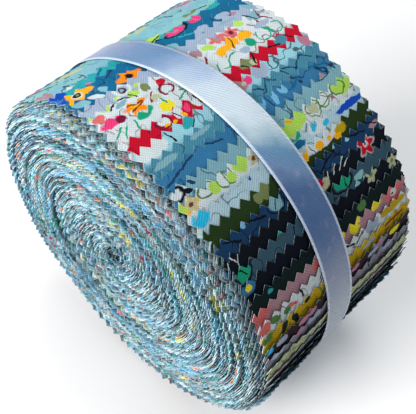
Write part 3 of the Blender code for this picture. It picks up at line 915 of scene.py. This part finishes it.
# %% The whole cloth
def cloth_material(name, number, face_marks):
    """Return the printed cotton of one strip."""
    sketch = Sketch(name)
    flat = sketch.node("ShaderNodeUVMap", {"uv_map": "Cloth"})
    along, across, _ = sketch.split(sketch.out(flat))
    along = along * PER_METRE
    across = across * PER_METRE
    back = FOLDED_LENGTH / MM - sketch.math("ABSOLUTE", along)
    outer = sketch.math("GREATER_THAN", along, 0.0)
    on_cloth = sketch.join(along, across, float(number))

    _, warp_color = sketch.noise(on_cloth, 0.55, 2.0)
    warp_x, warp_y, _ = sketch.split(warp_color)
    across_drawn = across * PRINT_SQUEEZE + PRINT_SHIFT + (warp_x - 0.5) * PRINT_WANDER[0]
    back_drawn = back + (warp_y - 0.5) * PRINT_WANDER[1]

    color = printed_ground(sketch, number, outer, on_cloth)
    color = hidden_spots(sketch, color, number, on_cloth, back)
    (_, outer_motifs), (_, inner_motifs) = plies_of(number)
    for motifs, here in ((outer_motifs, outer), (inner_motifs, 1.0 - outer)):
        for motif in motifs:
            color = draw_motif(sketch, color, motif, across_drawn, back_drawn, here)

    blotch, _ = sketch.noise(on_cloth, 0.25, 3.0)
    thread_a = sketch.math("SINE", (along + across) * 7.2)
    thread_b = sketch.math("SINE", (along - across) * 9.5)
    weave = thread_a * 0.6 + thread_b * 0.4
    shade = 1.0 + (blotch - 0.5) * 0.30 + weave * 0.15
    color = sketch.mix(1.0, color, sketch.join(shade, shade, shade), "MULTIPLY")

    where = sketch.node("ShaderNodeNewGeometry")
    px, _, pz = sketch.split(sketch.out(sketch.node("ShaderNodeTexCoord"), "Object"))
    nx, _, nz = sketch.split(sketch.out(where, "Normal"))
    outward = sketch.math("GREATER_THAN", px * nx + (pz - axis_height) * nz, 0.0)
    color = sketch.mix(outward, sketch.mix(0.5, color, BACK_WASH), color)

    inset = strip_width / MM / 2 - sketch.math("ABSOLUTE", across)
    in_pile = sketch.clamp((back - PILE_START) * 0.4)
    face_x, face_z = px * PER_METRE, (pz - axis_height) * PER_METRE
    edge_color = thread_ends(
        sketch, color, number, across, inset, face_marks, face_x, face_z, (warp_x, warp_y)
    )
    color = sketch.mix(in_pile * sketch.clamp((EDGE_ZONE - inset) * 0.6), color, edge_color)

    rim = sketch.out(sketch.node("ShaderNodeAttribute", {"attribute_name": "cut_edge"}), "Fac")
    fray, _ = sketch.noise(on_cloth, 2.2, 2.0)
    lip = sketch.clamp((rim - 0.80) * 6.0) * sketch.clamp(fray * 3.2 - 1.2)
    color = sketch.mix(lip * (0.35 + in_pile * 0.2), color, LIP_COLOR)

    bump = sketch.node(
        "ShaderNodeBump", {}, {"Strength": 0.35, "Distance": 0.0001, "Height": weave + fray}
    )
    sketch.paint(Base_Color=color, Roughness=0.78 + blotch * 0.2, Normal=sketch.out(bump))
    sketch.paint(Specular_IOR_Level=0.10)
    return sketch.material


face_marks = face_mark_group()
print("painters:", ", ".join(MOTIF_PAINTERS))

# %% [markdown]
# ## One strip of cloth
#
# A strip starts as a flat grid as long as the whole strip, with its fold in the middle.
# Columns stand half a tooth apart, so moving every other edge point inwards gives the
# pinked edge. The last columns are divided finely across, which gives the teeth of the
# free ends. The flat strip is given its thickness and is then wound up, point by point.

# %% Teeth and the flat strip
TEETH_ACROSS = 18
HALF_TOOTH = strip_width / TEETH_ACROSS / 2
SIDE_TOOTH_DEPTH = 1.3 * MM
END_TOOTH_DEPTH = 2.0 * MM
HALF_COLUMNS = round(FOLDED_LENGTH / HALF_TOOTH)
FLAP_COLUMNS = 8
FOLD_RADIUS = 0.2 * MM
ROW_PLACES = (-TEETH_ACROSS, 2 - TEETH_ACROSS, 0, TEETH_ACROSS - 2, TEETH_ACROSS)
LEAST_LIFT, EXTRA_LIFT = 0.22, 0.75


def lift_amount(angle):
    """Say how far free ends stand off: most at the lower right, where the pile is loose."""
    turned = (math.degrees(angle) + 180) % 360 - 180
    loose = smooth_step(32, 8, turned) if turned > -45 else smooth_step(-80, -45, turned)
    return (LEAST_LIFT + EXTRA_LIFT * loose) * MM


def flat_strip(bm):
    """Lay out the flat strip in metres: x from the fold, y across."""
    rows = len(ROW_PLACES) - 1
    bmesh.ops.create_grid(bm, x_segments=2 * HALF_COLUMNS, y_segments=rows, size=1.0)
    for vert in bm.verts:
        column = round((vert.co.x + 1) * HALF_COLUMNS) - HALF_COLUMNS
        row = round((vert.co.y + 1) / 2 * rows)
        vert.co = (column * HALF_TOOTH, ROW_PLACES[row] * HALF_TOOTH, 0.0)
    flap_start = (HALF_COLUMNS - FLAP_COLUMNS - 0.5) * HALF_TOOTH
    for cuts in (1, TEETH_ACROSS - 3):
        span = (cuts + 1) * HALF_TOOTH
        crossing = [
            edge for edge in bm.edges
            if abs(edge.verts[0].co.x) > flap_start
            and abs(edge.verts[0].co.x - edge.verts[1].co.x) < HALF_TOOTH / 4
            and abs(edge.calc_length() - span) < HALF_TOOTH / 4
        ]
        bmesh.ops.subdivide_edges(bm, edges=crossing, cuts=cuts, use_grid_fill=True)
    length = HALF_COLUMNS * HALF_TOOTH
    edge_layer = bm.verts.layers.float.new("cut_edge")
    for vert in bm.verts:
        column = round(vert.co.x / HALF_TOOTH)
        row = round(vert.co.y / HALF_TOOTH) + TEETH_ACROSS
        on_side = abs(vert.co.y) > strip_width / 2 - HALF_TOOTH / 4
        on_end = abs(vert.co.x) > length - HALF_TOOTH / 4
        vert[edge_layer] = 1.0 if on_side or on_end else 0.0
        if on_side and column % 2:
            vert.co.y -= math.copysign(SIDE_TOOTH_DEPTH, vert.co.y)
        if on_end and row % 2:
            vert.co.x -= math.copysign(END_TOOTH_DEPTH, vert.co.x)
    beside_fold = [
        edge for edge in bm.edges
        if abs(edge.verts[0].co.x - edge.verts[1].co.x) > HALF_TOOTH / 2
        and min(abs(vert.co.x) for vert in edge.verts) < HALF_TOOTH / 4
    ]
    middle = bmesh.ops.subdivide_edges(bm, edges=beside_fold, cuts=1)["geom_inner"]
    for vert in middle:
        if isinstance(vert, bmesh.types.BMVert):
            vert.co.x = math.copysign(FOLD_RADIUS, vert.co.x)
    bmesh.ops.solidify(bm, geom=bm.faces[:], thickness=CLOTH_THICKNESS)
    return length


# %% Winding the strip
CORE_OFFSET = Vector((-2.4 * MM, 0.0, 3.0 * MM))
RIM_START = 0.945
RIM_SETBACK = 1.4 * MM
RIM_SQUEEZE = 0.8 * MM
CURL_LENGTH = 5.2 * MM
RIBBON_PRESS = 0.30 * MM
PRESS_WIDTH = 7 * MM
SLACK = 1.6 * MM
SLIP_INSIDE, SLIP_OUTSIDE = 1.0, 1.4
FRINGE = 0.3 * MM


def wobble(x, y, z):
    """A smooth, repeatable random number around 0."""
    return noise.noise(Vector((x, y, z)))


class Winding:
    """Where the points of one strip go once it is rolled up."""

    def __init__(self, number, length):
        self.index = STRIP_COUNT - number
        self.length = length
        self.start = FIRST_FREE_END - FULL_TURN * (TURNS + self.index / STRIP_COUNT)

    def free_end(self, outer):
        """Return the angle where a ply ends, with the small errors of cutting."""
        ply = 2 * self.index + (1 if outer else 0)
        error = math.radians(0.7) * wobble(ply * 3.7, 4.2, 1.0)
        return FIRST_FREE_END - END_STEP * self.index + (0 if outer else PLY_STEP) + error

    def along_spiral(self, along, reach):
        """Return the way from the fold along the spiral; inside the roll the cloth is slack."""
        distance = abs(along) / self.length * reach
        settled = smooth_step(0.0, 12 * MM, abs(along))
        settled *= smooth_step(0.0, 30 * MM, reach - distance)
        distance += SLACK * settled * wobble(self.index * 0.21, distance / (60 * MM), 5.0)
        slip = SLIP_INSIDE + SLIP_OUTSIDE * smooth_step(0.60, 0.85, distance / reach)
        return distance + slip * MM * settled * wobble(self.index * 1.9, 3.0, 60.0)

    def bulge(self, radius, angle, turned, along, across, to_end, seed):
        """Say how far a point stands off the spiral: curled ends, soft waves, frayed edges."""
        spread = across / strip_width * 2
        depth = smooth_step(0.55, 1.0, radius / roll_radius)
        edge = smooth_step(0.86, 1.0, abs(spread))
        curl = max(0.0, 1 - to_end / CURL_LENGTH) ** 2
        ragged = 0.75 + 0.9 * wobble(across / (9 * MM), seed, 2.0)
        off = lift_amount(angle) * curl * max(ragged, 0.1)
        off += 0.30 * MM * depth * wobble(angle * 5, spread * 1.6, 6.0)
        off -= RIBBON_PRESS * depth * math.exp(-(across / PRESS_WIDTH) ** 2)
        off += 0.20 * MM * edge * wobble(along / (2.1 * MM), seed * 3.1, 7.0)
        off += 0.45 * MM * edge * wobble(turned * 0.5, self.index * 0.7, 40.0)
        return off

    def drift(self, radius, turned, along, across, seed):
        """Say how far a point strays sideways: grooves, uneven winding and a fringe."""
        spread = across / strip_width * 2
        edge = smooth_step(0.86, 1.0, abs(spread))
        rim = smooth_step(RIM_START, 1.0, radius / roll_radius)
        loose = (1 - 0.6 * rim) * MM
        sunk = groove_depth(self.index) * (0.6 + 0.9 * wobble(turned * 0.9, 1.0, 50.0))
        drift = rim * (RIM_SETBACK - RIM_SQUEEZE * spread)
        drift += 1.3 * loose * wobble(turned * 0.5, self.index * 0.23, 3.0)
        drift += 0.9 * loose * wobble(turned * 0.35, self.index * 1.3, 8.0)
        drift += 2.0 * loose * sunk
        drift += 0.35 * MM * wobble(turned * 2.9, seed * 3.3, 12.0)
        side = 9.0 + math.copysign(1, across)
        fringe = FRINGE * edge * wobble(along / (1.9 * MM), seed * 5.3, side)
        return drift + math.copysign(fringe, across)

    def place(self, along, across, above):
        """Map a flat point to the roll, above being its height over the printed face."""
        outer = along >= 0
        seed = (2 * self.index + (1 if outer else 0)) * 1.37 + 0.5
        span = self.free_end(outer) - self.start
        growth = (roll_radius - CORE_RADIUS) / span
        reach = CORE_RADIUS * span + growth * span * span / 2
        distance = self.along_spiral(along, reach)
        turned = (math.sqrt(CORE_RADIUS ** 2 + 2 * growth * distance) - CORE_RADIUS) / growth
        angle = self.start + turned
        apart = smooth_step(0.0, FOLD_RADIUS, abs(along))
        height = PLY_COUNT * turned / FULL_TURN + 1.0 + (0.5 if outer else -0.5) * apart
        radius = ply_radius(height, angle)
        radius += self.bulge(radius, angle, turned, along, across, reach - distance, seed)
        drift = self.drift(radius, turned, along, across, seed)
        sideways = (1 - apart) * above
        radius += apart * (above if outer else -above)
        point = place_on_roll(angle - sideways / max(radius, CORE_RADIUS), radius, across + drift)
        inner = 1 - smooth_step(0.1, 0.9, radius / roll_radius)
        return point + CORE_OFFSET * inner


print(f"{HALF_COLUMNS} half teeth from fold to free end")

# %% [markdown]
# The flat sheet has already been thickened with bmesh's own solidify. Its flat places are
# kept as the UV map called Cloth, and only then are its points moved to the roll. Each
# finished piece is tied to the body that carries it, and takes the place of its solid.

# %% Build the forty strips
def strip_mesh(name, number):
    """Return the mesh of one strip, wound up."""
    bm = bmesh.new()
    length = flat_strip(bm)
    uv_layer = bm.loops.layers.uv.new("Cloth")
    for face in bm.faces:
        for loop in face.loops:
            loop[uv_layer].uv = loop.vert.co.xy
    winding = Winding(number, length)
    for vert in bm.verts:
        vert.co = winding.place(*vert.co)
    bmesh.ops.recalc_face_normals(bm, faces=bm.faces[:])
    mesh = bpy.data.meshes.new(name)
    bm.to_mesh(mesh)
    bm.free()
    return mesh


def add_piece(name, mesh, material, body, slot_name, *nodes):
    """Show a mesh, tie it to a body, and hide the solids that it stands for."""
    piece = bpy.data.objects.new(name, mesh)
    bpy.context.scene.collection.objects.link(piece)
    mesh.materials.append(material)
    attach(piece, body)
    if nodes:
        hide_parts(*nodes)
    return piece


node_slots = {part["node"]: part["material_slot"] for part in frame["record"]["subparts"]}
strips = []
for number in range(1, STRIP_COUNT + 1):
    node_name = strip_names[number - 1]
    name = f"cloth_{number:02d}"
    mesh = strip_mesh(name, number)
    material = cloth_material(name, number, face_marks)
    piece = add_piece(name, mesh, material, "roll", node_slots[node_name], node_name)
    strips.append(piece)
print(len(strips), "strips,", sum(len(s.data.polygons) for s in strips), "faces")

# %% [markdown]
# ## Loose threads
#
# Cutting leaves short ends of thread along every edge, and they give both faces their
# fuzz. Each thread is a bent line with a little thickness. They are made as one curve
# object and turned into a mesh, so they count as a single piece.

# %% Threads on both faces
THREAD_COUNT = 1800
THREAD_RADIUS = 0.045 * MM
THREAD_STEPS = 3
THREAD_BEND = 1.6
FACE_SHARE = 0.985
FLAT_SHARE = 0.98
ROOT_DEPTH = 1.2 * MM
RIM_ROOT_DEPTH = 1.6 * MM
GOLDEN_ANGLE = math.pi * (3 - math.sqrt(5))


def add_thread(curve, index):
    """Add one bent thread; the golden angle spreads the threads evenly over a face."""
    side = -1 if index % 2 else 1
    share = (index + 0.5) / THREAD_COUNT
    radius = roll_radius * math.sqrt(share) * FACE_SHARE
    angle = index * GOLDEN_ANGLE
    height = flat_radius / max(-math.sin(angle), 0.1)
    radius = min(radius, height * FLAT_SHARE)
    rim = smooth_step(RIM_START, 1.0, radius / roll_radius)
    start = strip_width / 2 - ROOT_DEPTH - rim * RIM_ROOT_DEPTH
    heading = angle + math.pi / 2 + 2.4 * wobble(index * 0.73, 1.0, 30.0)
    length = (1.1 + 1.6 * abs(wobble(index * 0.41, 2.0, 31.0))) * MM
    stand = (1.4 + 1.2 * wobble(index * 0.59, 3.0, 32.0)) * MM
    spline = curve.splines.new("POLY")
    spline.points.add(THREAD_STEPS)
    for step, point in enumerate(spline.points):
        along = step / THREAD_STEPS
        turn = heading + THREAD_BEND * along
        place = place_on_roll(angle, radius, 0.0)
        place.x += length * along * math.cos(turn)
        place.z += length * along * math.sin(turn)
        place.y = side * (start + stand * math.sin(math.pi * 0.7 * along))
        point.co = (*place, 1.0)


THREAD_DYES = (
    (0.02, "white"), (0.30, "ice"), (0.55, "pale"),
    (0.78, "cream"), (0.86, "steel"), (0.95, "coral"),
)


def thread_material():
    """Return thread that takes one dye or another from place to place."""
    sketch = Sketch("loose_threads")
    place = sketch.out(sketch.node("ShaderNodeTexCoord"), "Object")
    cells = sketch.node(
        "ShaderNodeTexVoronoi", {"feature": "F1"}, {"Vector": place, "Scale": 600.0}
    )
    pick, shade, _ = sketch.split(sketch.out(cells, "Color"))
    ramp = sketch.node("ShaderNodeValToRGB", {}, {0: pick})
    ramp.color_ramp.interpolation = "CONSTANT"
    stops = ramp.color_ramp.elements
    for start, dye in THREAD_DYES:
        stops.new(start).color = (*DYES[dye], 1.0)
    stops.remove(stops[0])
    sketch.paint(Base_Color=sketch.out(ramp), Roughness=0.8 + shade * 0.15)
    return sketch.material


thread_curve = bpy.data.curves.new("loose_threads", "CURVE")
thread_curve.dimensions = "3D"
thread_curve.bevel_depth = THREAD_RADIUS
thread_curve.bevel_resolution = 0
thread_curve.use_fill_caps = True
for index in range(THREAD_COUNT):
    add_thread(thread_curve, index)
thread_holder = bpy.data.objects.new("thread_curve", thread_curve)
bpy.context.scene.collection.objects.link(thread_holder)
depsgraph = bpy.context.evaluated_depsgraph_get()
thread_mesh = bpy.data.meshes.new_from_object(thread_holder.evaluated_get(depsgraph))
bpy.data.objects.remove(thread_holder)
threads = add_piece("loose_threads", thread_mesh, thread_material(), "roll", "cloth_white")
print(THREAD_COUNT, "threads,", len(thread_mesh.polygons), "faces")

# %% [markdown]
# ## The ribbon
#
# The ribbon is a narrow satin band with a thicker woven edge on each side. It is made flat
# as a grid, wrapped once round and a little further, and thickened. It isn't laid quite
# square to the roll, and it lies snug on the flat underside but a little loose elsewhere.

# %% Ribbon mesh
RIBBON_COLUMNS = 360
RIBBON_ROWS = 10
RIBBON_THICKNESS = 0.25 * MM
RAY_STEP_DEGREES = 360 / RAYS_PER_TURN
LAP_START = math.radians(RAY_STEP_DEGREES * 8.5)
LAP_SPAN = math.radians(RAY_STEP_DEGREES)
LAP_RAMP = math.radians(20)
RIBBON_CLEARANCE = 0.22 * MM
LAP_LIFT = 0.65 * MM
SELVAGE_LIFT = 0.05
LOOSE_LIFT, LOOSE_WAVE = 0.06, 0.12
MIDDLE_SKEW, SLANT_SKEW = -0.3, 3.2
SIDE_WAVE = 0.2 * MM
STEEPEST = 1.2


def ribbon_radius(angle):
    """Return how far out the ribbon lies: snug, but flat under the roll."""
    radius = roll_radius + RIBBON_CLEARANCE
    off_base = min(angle_from_base(angle), STEEPEST)
    flat = (axis_height - RIBBON_THICKNESS) / math.cos(off_base)
    return min(radius, flat)


def ribbon_mesh(name):
    """Return the ribbon's mesh, wrapped round the roll and lapped over its start."""
    bm = bmesh.new()
    bmesh.ops.create_grid(bm, x_segments=RIBBON_COLUMNS, y_segments=RIBBON_ROWS, size=1.0)
    uv_layer = bm.loops.layers.uv.new("Cloth")
    total = FULL_TURN + LAP_SPAN
    for face in bm.faces:
        for loop in face.loops:
            turned = (loop.vert.co.x + 1) / 2 * total
            loop[uv_layer].uv = (turned * roll_radius, loop.vert.co.y * ribbon_width / 2)
    for vert in bm.verts:
        turned = (vert.co.x + 1) / 2 * total
        angle = LAP_START + turned
        spread = vert.co.y
        radius = ribbon_radius(angle)
        radius += LAP_LIFT * smooth_step(FULL_TURN - LAP_RAMP, FULL_TURN, turned)
        off_flat = smooth_step(math.radians(11), math.radians(18), angle_from_base(angle))
        selvage = smooth_step(0.82, 0.94, abs(spread))
        loose = LOOSE_WAVE * wobble(angle * 4, spread, 20.0) + LOOSE_LIFT
        radius += off_flat * MM * (SELVAGE_LIFT * selvage + loose)
        degrees_round = math.degrees(angle % FULL_TURN)
        slant = smooth_step(62, 130, degrees_round) - smooth_step(150, 250, degrees_round)
        skew = (MIDDLE_SKEW - SLANT_SKEW * slant) * MM
        across = spread * ribbon_width / 2 + skew + SIDE_WAVE * wobble(angle * 2.5, 3.0, 21.0)
        vert.co = place_on_roll(angle, radius, across)
    bmesh.ops.recalc_face_normals(bm, faces=bm.faces[:])
    bmesh.ops.solidify(bm, geom=bm.faces[:], thickness=RIBBON_THICKNESS)
    for face in bm.faces:
        face.smooth = True
    mesh = bpy.data.meshes.new(name)
    bm.to_mesh(mesh)
    bm.free()
    return mesh


# %% [markdown]
# Satin is shiny along one direction and takes the colour of what is around it, so the real
# ribbon runs from white to periwinkle. Those highlights, reflections and shade are painted
# into its colour as a soft variation round the roll, on top of the fine slanting weave.

# %% Ribbon material
# Painted highlights and shade of the satin, by degrees round the roll.
SATIN_PAINTED_LIGHT = (
    (-30, (0.14, 0.22, 0.31)),
    (6, (0.18, 0.25, 0.35)),
    (17, (0.11, 0.17, 0.31)),
    (27, (0.02, 0.09, 0.26)),
    (42, (0.045, 0.12, 0.28)),
    (49, (0.13, 0.23, 0.41)),
    (55, (0.09, 0.24, 0.42)),
    (60, (0.32, 0.47, 0.56)),
    (66, (0.53, 0.65, 0.72)),
    (78, (0.48, 0.58, 0.68)),
    (85, (0.34, 0.46, 0.63)),
    (92, (0.20, 0.31, 0.50)),
    (100, (0.07, 0.20, 0.39)),
    (122, (0.05, 0.14, 0.34)),
    (200, (0.30, 0.40, 0.56)),
)
# A painted pinkish reflection on the satin.
PAINTED_PINK_GLEAM = (0.62, 0.42, 0.62)
SELVAGE_COLOR = (0.58, 0.66, 0.79)
SELVAGE_WIDTH = 0.75


def ribbon_material():
    """Return the satin, with painted highlights, reflections and shade, slanting weave and paler
    edges.
    """
    sketch = Sketch("satin_ribbon")
    flat = sketch.node("ShaderNodeUVMap", {"uv_map": "Cloth"})
    along, across, _ = sketch.split(sketch.out(flat))
    along = along * PER_METRE
    across = across * PER_METRE
    on_ribbon = sketch.join(along, across)
    place = sketch.out(sketch.node("ShaderNodeTexCoord"), "Object")
    px, _, pz = sketch.split(place)
    cloud, _ = sketch.noise(on_ribbon, 0.12, 2.0)
    # Painted highlights and shade: the satin's colour follows its angle round the roll, pale near
    # the top and deep blue lower down.
    angle = sketch.math("ARCTAN2", pz - axis_height, px) * (180 / math.pi)
    angle = angle + (cloud - 0.5) * 14.0 + across * 0.7
    low, high = SATIN_PAINTED_LIGHT[0][0], SATIN_PAINTED_LIGHT[-1][0]
    ramp = sketch.node("ShaderNodeValToRGB", {}, {0: (angle - low) / (high - low)})
    stops = ramp.color_ramp.elements
    for degrees, tint in SATIN_PAINTED_LIGHT[1:-1]:
        stops.new((degrees - low) / (high - low)).color = (*tint, 1.0)
    stops[0].color = (*SATIN_PAINTED_LIGHT[0][1], 1.0)
    stops[len(stops) - 1].color = (*SATIN_PAINTED_LIGHT[-1][1], 1.0)
    color = sketch.out(ramp)
    # Painted reflection: pinkish gleams are scattered over the satin.
    pinkish, _ = sketch.noise(on_ribbon, 0.30, 1.0)
    color = sketch.mix(sketch.clamp((pinkish - 0.62) * 3.0) * 0.35, color, PAINTED_PINK_GLEAM)
    twill = sketch.math("SINE", along * 4.2 + across * 7.5)
    shade = 1.0 + twill * 0.07
    color = sketch.mix(1.0, color, sketch.join(shade, shade, shade), "MULTIPLY")
    edge = sketch.math("ABSOLUTE", across) - (ribbon_width / MM / 2 - SELVAGE_WIDTH)
    selvage = sketch.clamp(edge * 6.0)
    color = sketch.mix(selvage * 0.6, color, SELVAGE_COLOR)
    height = twill + selvage * 1.5
    bump = sketch.node(
        "ShaderNodeBump", {}, {"Strength": 0.35, "Distance": 0.0001, "Height": height}
    )
    sketch.paint(Base_Color=color, Roughness=0.34 + cloud * 0.12, Normal=sketch.out(bump))
    sketch.paint(Sheen_Weight=0.3, Specular_IOR_Level=0.5)
    return sketch.material


satin = ribbon_material()
ribbon = add_piece("satin_ribbon", ribbon_mesh("satin_ribbon"), satin, "tie", "satin", "ribbon")
ribbon_length = (FULL_TURN + LAP_SPAN) * roll_radius
print(f"ribbon {ribbon_width / MM:.1f} mm wide, {ribbon_length / MM:.0f} mm long")

# %% [markdown]
# The dab of glue between the two laps is the solid model's own, so it only gets a finish.

# %% Glue finish
glue_sketch = Sketch("clear_glue")
glue_place = glue_sketch.out(glue_sketch.node("ShaderNodeTexCoord"), "Object")
glue_cloud, _ = glue_sketch.noise(glue_place, 900.0)
glue_tint = glue_sketch.mix(glue_cloud, (0.66, 0.64, 0.56), (0.84, 0.82, 0.76))
glue_sketch.paint(Base_Color=glue_tint, Roughness=0.25 + glue_cloud * 0.2)
glue = bpy.data.objects["ribbon_glue"]
glue.data.materials.clear()
glue.data.materials.append(glue_sketch.material)
print("glue finished")

# %% [markdown]
# ## The stage
#
# A pale floor, a large soft light overhead, a warmer one in front and a weak one behind, so
# that both flat faces can be seen. The camera looks down at the roll from the front right.

# %% Floor
FLOOR_REACH = 3.0
floor_mesh = bpy.data.meshes.new("floor")
floor_bm = bmesh.new()
bmesh.ops.create_grid(floor_bm, x_segments=1, y_segments=1, size=FLOOR_REACH)
floor_bm.to_mesh(floor_mesh)
floor_bm.free()
floor = bpy.data.objects.new("floor", floor_mesh)
bpy.context.scene.collection.objects.link(floor)
floor_sketch = Sketch("pale_floor")
floor_sketch.paint(Base_Color=(0.86, 0.86, 0.86), Roughness=0.9)
floor_mesh.materials.append(floor_sketch.material)
print("floor laid")


# %% Lights
WARM, COOL, PLAIN = (1.05, 1.0, 0.98), (0.96, 1.0, 1.02), (1.0, 1.0, 1.0)


def soft_light(name, place, size, power, tint):
    """Hang a square lamp at a place, turned towards the middle of the roll."""
    lamp = bpy.data.lights.new(name, "AREA")
    lamp.size = size
    lamp.energy = power
    lamp.color = tint
    holder = bpy.data.objects.new(name, lamp)
    bpy.context.scene.collection.objects.link(holder)
    holder.location = place
    aim = Vector((0.0, 0.0, axis_height)) - Vector(place)
    holder.rotation_euler = aim.to_track_quat("-Z", "Y").to_euler()


soft_light("key", (0.02, 0.14, 0.72), 0.40, 2.25, COOL)
soft_light("front_fill", (-0.15, -0.69, 0.34), 0.5, 10.6, WARM)
soft_light("back_fill", (-0.10, 0.80, 0.30), 0.5, 4.0, PLAIN)
world = bpy.data.worlds.new("studio")
world.use_nodes = True
world.node_tree.nodes["Background"].inputs["Color"].default_value = (0.93, 0.96, 1.0, 1.0)
world.node_tree.nodes["Background"].inputs["Strength"].default_value = 0.16
bpy.context.scene.world = world
bpy.context.scene.view_settings.view_transform = "Standard"
print("three soft lights and a faint sky")

# %% Camera
AZIMUTH = math.radians(48.74)
ELEVATION = math.radians(48.95)
ROLL = math.radians(-5.31)
DISTANCE = 4.0762 * roll_radius
SENSOR_WIDTH = 36.0
LENS_IN_WIDTHS = 1.731731
CENTER_OFFSET = (-0.029808, -0.00024)

forward = Vector((
    -math.sin(AZIMUTH) * math.cos(ELEVATION),
    math.cos(AZIMUTH) * math.cos(ELEVATION),
    -math.sin(ELEVATION),
))
right = Vector((math.cos(AZIMUTH), math.sin(AZIMUTH), 0.0))
up = right.cross(forward)
tilted_right = right * math.cos(ROLL) + up * math.sin(ROLL)
tilted_up = up * math.cos(ROLL) - right * math.sin(ROLL)
lens = bpy.data.cameras.new("camera")
lens.sensor_width = SENSOR_WIDTH
lens.lens = SENSOR_WIDTH * LENS_IN_WIDTHS
lens.shift_x = -CENTER_OFFSET[0]
lens.shift_y = CENTER_OFFSET[1]
camera = bpy.data.objects.new("camera", lens)
bpy.context.scene.collection.objects.link(camera)
stand = Vector((0.0, 0.0, axis_height)) - forward * DISTANCE
axes = Matrix((tilted_right, tilted_up, -forward)).transposed()
camera.matrix_world = Matrix.Translation(stand) @ axes.to_4x4()
bpy.context.scene.camera = camera
print(f"camera {DISTANCE:.3f} m away, {lens.lens:.1f} mm lens")
